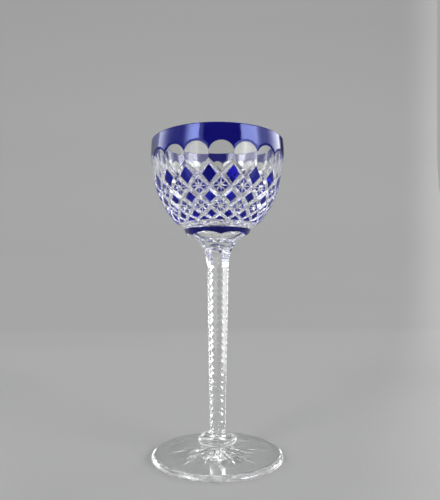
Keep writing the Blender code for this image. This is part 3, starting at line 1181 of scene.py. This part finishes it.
@dataclass
class Stem:
    """The six-sided stem with nicked ridges and a flare under the bowl."""

    finishes: Finishes
    base: float = 0.01345
    top: float = 0.13115
    nick_base: float = 0.0136
    neck: float = 0.1115
    foot_radius: float = 0.0046
    neck_radius: float = 0.0062
    flare_radius: float = 0.0120
    flare_sweep: float = 2.9
    nick_pairs: int = 12
    nick_depth: float = 0.00065
    nicks: Stops = ((0.64, 0.0028), (1.14, 0.0050))
    nick_steps: int = 10
    flare_steps: int = 24
    ridge_polish: float = 0.00003

    SIDES = 6
    TWIST = math.radians(10 / 3)

    @classmethod
    def flat_reach(cls, angle: float) -> float:
        """Gives how far a flat reaches at an angle, for a flat one unit from the axis."""
        side = TURN / cls.SIDES
        return 1 / math.cos((angle - cls.TWIST) % side - side / 2)

    @classmethod
    def flats(cls, radius: float, angles: Iterable[float], height: float) -> list[Vector]:
        """Gives points on six flats at a distance from the axis, at some angles and a height."""
        return [polar(cls.flat_reach(angle) * radius, angle, height) for angle in angles]

    def flat_at(self, height: float) -> float:
        """Gives the flats' distance from the axis.

        Args:
            height: The height.

        Returns:
            The distance there: even up to the neck, and then sweeping out.
        """
        if height <= self.neck:
            share = (height - self.nick_base) / (self.neck - self.nick_base)
            return self.foot_radius + (self.neck_radius - self.foot_radius) * share
        share = min((height - self.neck) / (self.top - self.neck), 1.0) ** self.flare_sweep
        return self.neck_radius + (self.flare_radius - self.neck_radius) * share

    def nick_list(self) -> list[Span]:
        """Lists the nicks.

        Returns:
            Their middles and half lengths.
        """
        pitch = (self.neck - self.nick_base) / self.nick_pairs
        found = []
        for pair in range(self.nick_pairs):
            for place, length in self.nicks:
                found.append((self.nick_base + (pair + place) * pitch, length / 2))
        return found

    def heights(self) -> list[float]:
        """Lists the heights of the stem's rings.

        Returns:
            The heights, the lowest first.
        """
        found = {self.base + SEAM_ROOM, self.top - SEAM_ROOM}
        for middle, half in self.nick_list():
            found |= {middle + half * (2 * share - 1) for share in steps(self.nick_steps)}
        start = max(middle + half for middle, half in self.nick_list())
        found |= {start + (self.top - start) * share for share in steps(self.flare_steps)}
        return sorted(found)

    def cut_depth(self, height: float) -> float:
        """Gives how deep the ridges are cut.

        Args:
            height: The height.

        Returns:
            The depth there: a nick's, or else the polish of the ridge.
        """
        depth = self.ridge_polish
        for middle, half in self.nick_list():
            along = (height - middle) / half
            if abs(along) < 1:
                depth = max(depth, self.nick_depth * (1 - along**2))
        return depth

    def section(self, height: float) -> list[Vector]:
        """Gives the stem's outline.

        Args:
            height: The height.

        Returns:
            Two points for each ridge, at the sides of its cut.
        """
        side = TURN / self.SIDES
        radius = self.flat_at(height) / math.cos(side / 2)
        width = self.cut_depth(height) * math.tan(side)
        ring = []
        for number in range(self.SIDES):
            angle = self.TWIST + number * side
            middle = polar(radius - self.cut_depth(height), angle, height)
            across = polar(width, angle + QUARTER, 0.0)
            ring += [middle - across, middle + across]
        return ring

    def build(self) -> None:
        """Builds the stem."""
        draft = Draft()
        rings = draft.rings(self.section(height) for height in self.heights())
        draft.loft(rings)
        draft.face(rings[0], Face.SEAM)
        draft.face(rings[-1], Face.SEAM)
        piece = draft.piece("stem_crystal", Slot.CRYSTAL, self.finishes.clear())
        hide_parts("stem")


@dataclass
class Knop:
    """The flattened button between stem and foot."""

    finishes: Finishes
    base: float = 0.00695
    top: float = 0.01345
    radius: float = 0.0117
    seat_radius: float = 0.0072
    stem_radius: float = 0.0046
    round_steps: int = 28
    turn_steps: int = 144

    def build(self) -> None:
        """Builds the knop."""
        draft = Draft()
        angles = turns(self.turn_steps)
        low = self.base + SEAM_ROOM
        high = self.top - SEAM_ROOM
        rings = []
        for share in steps(self.round_steps):
            turn = math.pi * (0.5 - share)
            radius = self.seat_radius + (self.radius - self.seat_radius) * math.cos(turn)
            height = (low + high) / 2 + (high - low) / 2 * math.sin(turn)
            rings.append(draft.points(circle(radius, angles, height)))
        stem = draft.points(Stem.flats(self.stem_radius, angles, high))
        draft.bridge(stem, rings[0], smooth=False)
        draft.fan(stem, high, Face.SEAM)
        draft.loft(rings)
        draft.fan(rings[-1], low, Face.SEAM)
        piece = draft.piece("knop_crystal", Slot.CRYSTAL, self.finishes.clear())
        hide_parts("knop")


@dataclass
class Foot:
    """The round foot, with a star cut under it."""

    finishes: Finishes
    radius: float = 0.0397
    edge: float = 0.0030
    top: float = 0.00695
    crown_radius: float = 0.0090
    knop_radius: float = 0.0072
    sweep: float = 2.4
    roll: float = 0.0034
    lip: float = 0.0008
    lip_steps: int = 6
    rest_width: float = 0.0060
    hollow: float = 0.0024
    rays: int = 8
    hub_radius: float = 0.0010
    ray_start: float = 0.0020
    centre_radius: float = 0.0040
    long_ray: float = 0.0310
    short_ray: float = 0.0240
    ray_half_width: float = 0.0014
    ray_swell: float = 2.6
    ray_room: float = 0.9
    ray_slope: float = 0.55
    ray_radii: int = 24
    top_steps: int = 40
    round_steps: int = 20

    STAR_POINTS = 4

    @property
    def sector(self) -> float:
        """The angle between a long ray and the short ray next to it."""
        return TURN / (2 * self.rays)

    @property
    def edge_radius(self) -> float:
        """The radius at which the edge's rounding starts."""
        return self.radius - self.roll

    @property
    def rest_radius(self) -> float:
        """The inner radius of the ring on which the foot rests."""
        return self.radius - self.rest_width

    def top_outline(self) -> list[Span]:
        """Gives the section from the crown over the edge to the resting ring.

        Returns:
            Radii and heights in order.
        """
        crown = self.top - SEAM_ROOM
        outline = [(self.knop_radius, crown)]
        for share in steps(self.top_steps)[:-1]:
            radius = self.crown_radius + (self.edge_radius - self.crown_radius) * share
            outline.append((radius, self.edge + (crown - self.edge) * (1 - share) ** self.sweep))
        for share in steps(self.round_steps):
            turn = share * QUARTER
            height = self.lip + (self.edge - self.lip) * math.cos(turn)
            outline.append((self.edge_radius + self.roll * math.sin(turn), height))
        for share in steps(self.lip_steps)[1:]:
            turn = share * QUARTER
            outline.append((self.radius - self.lip * (1 - math.cos(turn)), self.lip * (1 - math.sin(turn))))
        return outline + [(self.rest_radius, 0.0)]

    def ray_width(self, radius: float, reach: float) -> float:
        """Gives a ray's half width.

        Args:
            radius: The radius at which it is asked.
            reach: The radius at which the ray ends.

        Returns:
            The half width there, which leaves room for the rays beside it.
        """
        along = max(0.0, min((radius - self.ray_start) / (reach - self.ray_start), 1.0))
        width = self.ray_half_width * self.ray_swell * math.sqrt(along) * (1 - along)
        return max(0.0, min(width, radius * math.tan(self.sector / 2) * self.ray_room))

    def under_ring(self, radius: float) -> list[Vector]:
        """Gives a ring of the underside, with the rays' bottoms and edges.

        Args:
            radius: The ring's radius.

        Returns:
            Four points for each ray: its bottom, its edge, halfway to the next ray, and that ray's edge.
        """
        height = self.hollow * (1 - radius / self.rest_radius)
        least = self.sector / self.STAR_POINTS
        reaches = (self.long_ray, self.short_ray)
        ring = []
        for number in range(2 * self.rays):
            middle = number * self.sector
            depth, width = (self.ray_width(radius, reaches[(number + step) % 2]) for step in (0, 1))
            own = math.atan(depth / radius) if depth > 0 else least
            other = math.atan(width / radius) if width > 0 else least
            ring += [
                polar(radius, middle, height + depth * self.ray_slope),
                polar(radius, middle + own, height),
                polar(radius, middle + self.sector / 2, height),
                polar(radius, middle + self.sector - other, height),
            ]
        return ring

    def build(self) -> None:
        """Builds the foot."""
        draft = Draft()
        outline = self.top_outline()
        angles = turns(2 * self.STAR_POINTS * 2 * self.rays)
        rings = draft.rings(circle(radius, angles, height) for radius, height in outline)
        draft.fan(rings[0], outline[0][1], Face.SEAM)
        draft.loft(rings)
        radii = {self.long_ray, self.short_ray, self.centre_radius}
        span = self.long_ray - self.hub_radius
        radii |= {self.hub_radius + span * share for share in steps(self.ray_radii)}
        under = draft.rings(self.under_ring(radius) for radius in sorted(radii, reverse=True))
        self.join(draft, rings[-1], under[0])
        draft.loft(under, smooth=False)
        draft.fan(under[-1], self.hollow, smooth=False)
        piece = draft.piece("foot_crystal", Slot.CRYSTAL, self.finishes.clear())
        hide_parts("foot")

    def join(self, draft: Draft, fine: Ring, coarse: Ring) -> None:
        """Joins the resting ring to the star's outermost ring, which has half its points.

        Args:
            draft: The foot's mesh.
            fine: The resting ring's inner edge.
            coarse: The star's outermost ring.
        """
        for index, (vert, following) in enumerate(pairs(coarse)):
            first, second = fine[2 * index], fine[2 * index + 1]
            third = fine[(2 * index + 2) % len(fine)]
            draft.face((vert, first, second, third, following), smooth=True)


@dataclass(frozen=True)
class LightTent:
    """The studio's softboxes, white walls and dark gaps, all round the glass.

    Each stop is an azimuth from the camera, to the right, in degrees, with the brightness there.
    """

    upper: Stops = (
        (-180, 0.35), (-150, 0.30), (-128, 0.90), (-119, 1.80), (-116, 5.40), (-108, 5.20), (-100, 3.30),
        (-92, 1.50), (-84, 0.90), (-76, 0.80), (-62, 0.80), (-57, 1.60), (-52, 5.60), (-46, 11.4), (-40, 13.6),
        (-32, 13.6), (-30, 2.40), (-24.5, 1.80), (-23, 0.09), (38, 0.09), (42, 11.4), (68, 11.0), (73, 4.80),
        (79, 2.20), (92, 1.60), (100, 2.60), (112, 5.20), (128, 6.60), (133, 1.60), (138, 0.10), (150, 0.10),
    )
    lower: Stops = (
        (-180, 0.38), (-154, 0.38), (-146, 0.52), (-140, 0.62), (-127, 0.62), (-120, 0.42), (-60, 0.42),
        (-52, 1.90), (-41, 1.90), (-39, 2.60), (-33, 2.60), (-30, 0.50), (-23, 0.12), (37, 0.12), (41, 2.40),
        (45, 2.50), (47, 4.40), (53, 4.40), (55, 2.20), (66, 1.90), (69, 0.90), (80, 0.80), (86, 0.45),
        (125, 0.45), (140, 0.52), (154, 0.38),
    )
    ceiling: float = 0.47
    backdrop: float = 0.38
    brightest: float = 15.0
    upper_from: Span = (10.0, 15.0)
    ceiling_from: Span = (26.0, 36.0)

    def world(self, towards_camera: float) -> World:
        """Makes the world.

        Args:
            towards_camera: The camera's angle about the glass's axis.

        Returns:
            A world that shows the camera a plain backdrop, and the glass its studio.
        """
        world = bpy.data.worlds.new("light_tent")
        wiring = Wiring(world)
        across, along, up = wiring.split(wiring.place("Generated"))
        angle = wiring.math("ARCTAN2", across, wiring.math("MULTIPLY", along, -1.0))
        turn = wiring.math("MULTIPLY_ADD", angle, 1 / TURN, 0.5)
        room, upper = (
            wiring.ramp(turn, self.ramp_stops(ring, towards_camera)) for ring in (self.lower, self.upper)
        )
        ceiling = (*grey(self.ceiling / self.brightest), 1)
        for colour, edges in ((upper, self.upper_from), (ceiling, self.ceiling_from)):
            start, end = (math.sin(math.radians(edge)) for edge in edges)
            rise = wiring.rise(up, (start, end))
            room = wiring.add("MixRGB", {"Fac": rise, "Color1": room, "Color2": colour})
        studio = wiring.feed(wiring.nodes["Background"], {"Color": room, "Strength": self.brightest})
        plain = wiring.add("Background", {"Color": (*grey(self.backdrop), 1)})
        seen = {"Fac": wiring.camera_ray(), 1: studio.outputs["Background"], 2: plain}
        wiring.show(wiring.add("MixShader", seen), "World Output")
        return world

    def ramp_stops(self, ring: Stops, towards_camera: float) -> list[tuple[float, Colour]]:
        """Turns one ring of the tent into the stops of a ramp.

        Args:
            ring: The ring's stops.
            towards_camera: The camera's angle about the glass's axis.

        Returns:
            Places along the ramp, with the colour at each.
        """
        found = []
        for azimuth, brightness in ring:
            position = (math.degrees(towards_camera) + azimuth) / 360 + 0.5
            found.append((max(position, 0.0), grey(brightness / self.brightest)))
        return found


@dataclass
class Studio:
    """The paper, the light tent and the camera."""

    camera_place: Vector = field(default_factory=lambda: Vector((-0.0155, -0.2883, 0.1045)))
    lens: float = 34.16
    sensor: float = 36.0
    shift_x: float = 0.005
    shift_y: float = 0.068
    near_clip: float = 0.01
    paper_drop: float = 0.0001
    floor_half_width: float = 1.6
    floor_front: float = -1.6
    sweep_start: float = 0.6
    sweep_round: float = 0.5
    sweep_height: float = 1.2
    sweep_half_width: float = 0.72
    sweep_steps: int = 24
    bounces: int = 256
    glass_bounces: int = 128

    def build(self) -> None:
        """Sets up the whole studio."""
        self.set_camera()
        self.lay_paper()
        towards_camera = math.atan2(self.camera_place.x, -self.camera_place.y)
        bpy.context.scene.world = LightTent().world(towards_camera)
        self.set_tracing()

    def set_camera(self) -> None:
        """Sets the level camera up at the photograph's place."""
        camera = bpy.data.cameras.new("camera")
        camera.lens = self.lens
        camera.sensor_width = self.sensor
        camera.shift_x = self.shift_x
        camera.shift_y = self.shift_y
        camera.clip_start = self.near_clip
        holder = bpy.data.objects.new("camera", camera)
        holder.location = self.camera_place
        aim = Vector((-self.camera_place.x, -self.camera_place.y, 0.0))
        holder.rotation_euler = aim.to_track_quat("-Z", "Y").to_euler()
        bpy.context.scene.collection.objects.link(holder)
        bpy.context.scene.camera = holder

    def lay_paper(self) -> None:
        """Lays the paper: a floor all round the glass, swept up into a backdrop behind it."""
        sections = []
        for share in steps(self.sweep_steps):
            turn = share * QUARTER
            along = self.sweep_start + self.sweep_round * math.sin(turn)
            sections.append((along, self.sweep_round * (1 - math.cos(turn)), self.sweep_half_width))
        sections.append((self.sweep_start + self.sweep_round, self.sweep_height, self.sweep_half_width))
        corners = [(side * self.floor_half_width, self.floor_front, 0.0) for side in (-1, 1)]
        corners += [(side * self.floor_half_width, self.sweep_start, 0.0) for side in (1, -1)]
        points = corners + [(side * half, along, up) for along, up, half in sections for side in (-1, 1)]
        faces = [(0, 1, 2, 5, 4, 3)]
        for index in range(len(corners), len(points) - 2, 2):
            faces.append((index, index + 1, index + 3, index + 2))
        mesh = bpy.data.meshes.new("studio_paper")
        mesh.from_pydata(points, [], faces)
        mesh.shade_smooth()
        mesh.materials.append(Paper().material())
        paper = bpy.data.objects.new("studio_paper", mesh)
        paper.location.z = -self.paper_drop
        bpy.context.scene.collection.objects.link(paper)

    def set_tracing(self) -> None:
        """Lets light run on inside the foot's edge as in real glass, and keeps it sharp."""
        scene = bpy.context.scene
        scene.view_settings.view_transform = "Standard"
        scene.cycles.max_bounces = self.bounces
        scene.cycles.blur_glossy = 0.0
        scene.cycles.transmission_bounces = self.glass_bounces
        scene.cycles.glossy_bounces = self.glass_bounces
        scene.cycles.transparent_max_bounces = self.glass_bounces


def main() -> None:
    """Builds the glass and the studio round it."""
    logging.basicConfig(level=logging.INFO, format="%(name)s: %(message)s")
    finishes = Finishes.make()
    Bowl(finishes).build()
    Stem(finishes).build()
    Knop(finishes).build()
    Foot(finishes).build()
    Studio().build()


if __name__ == "__main__":
    main()
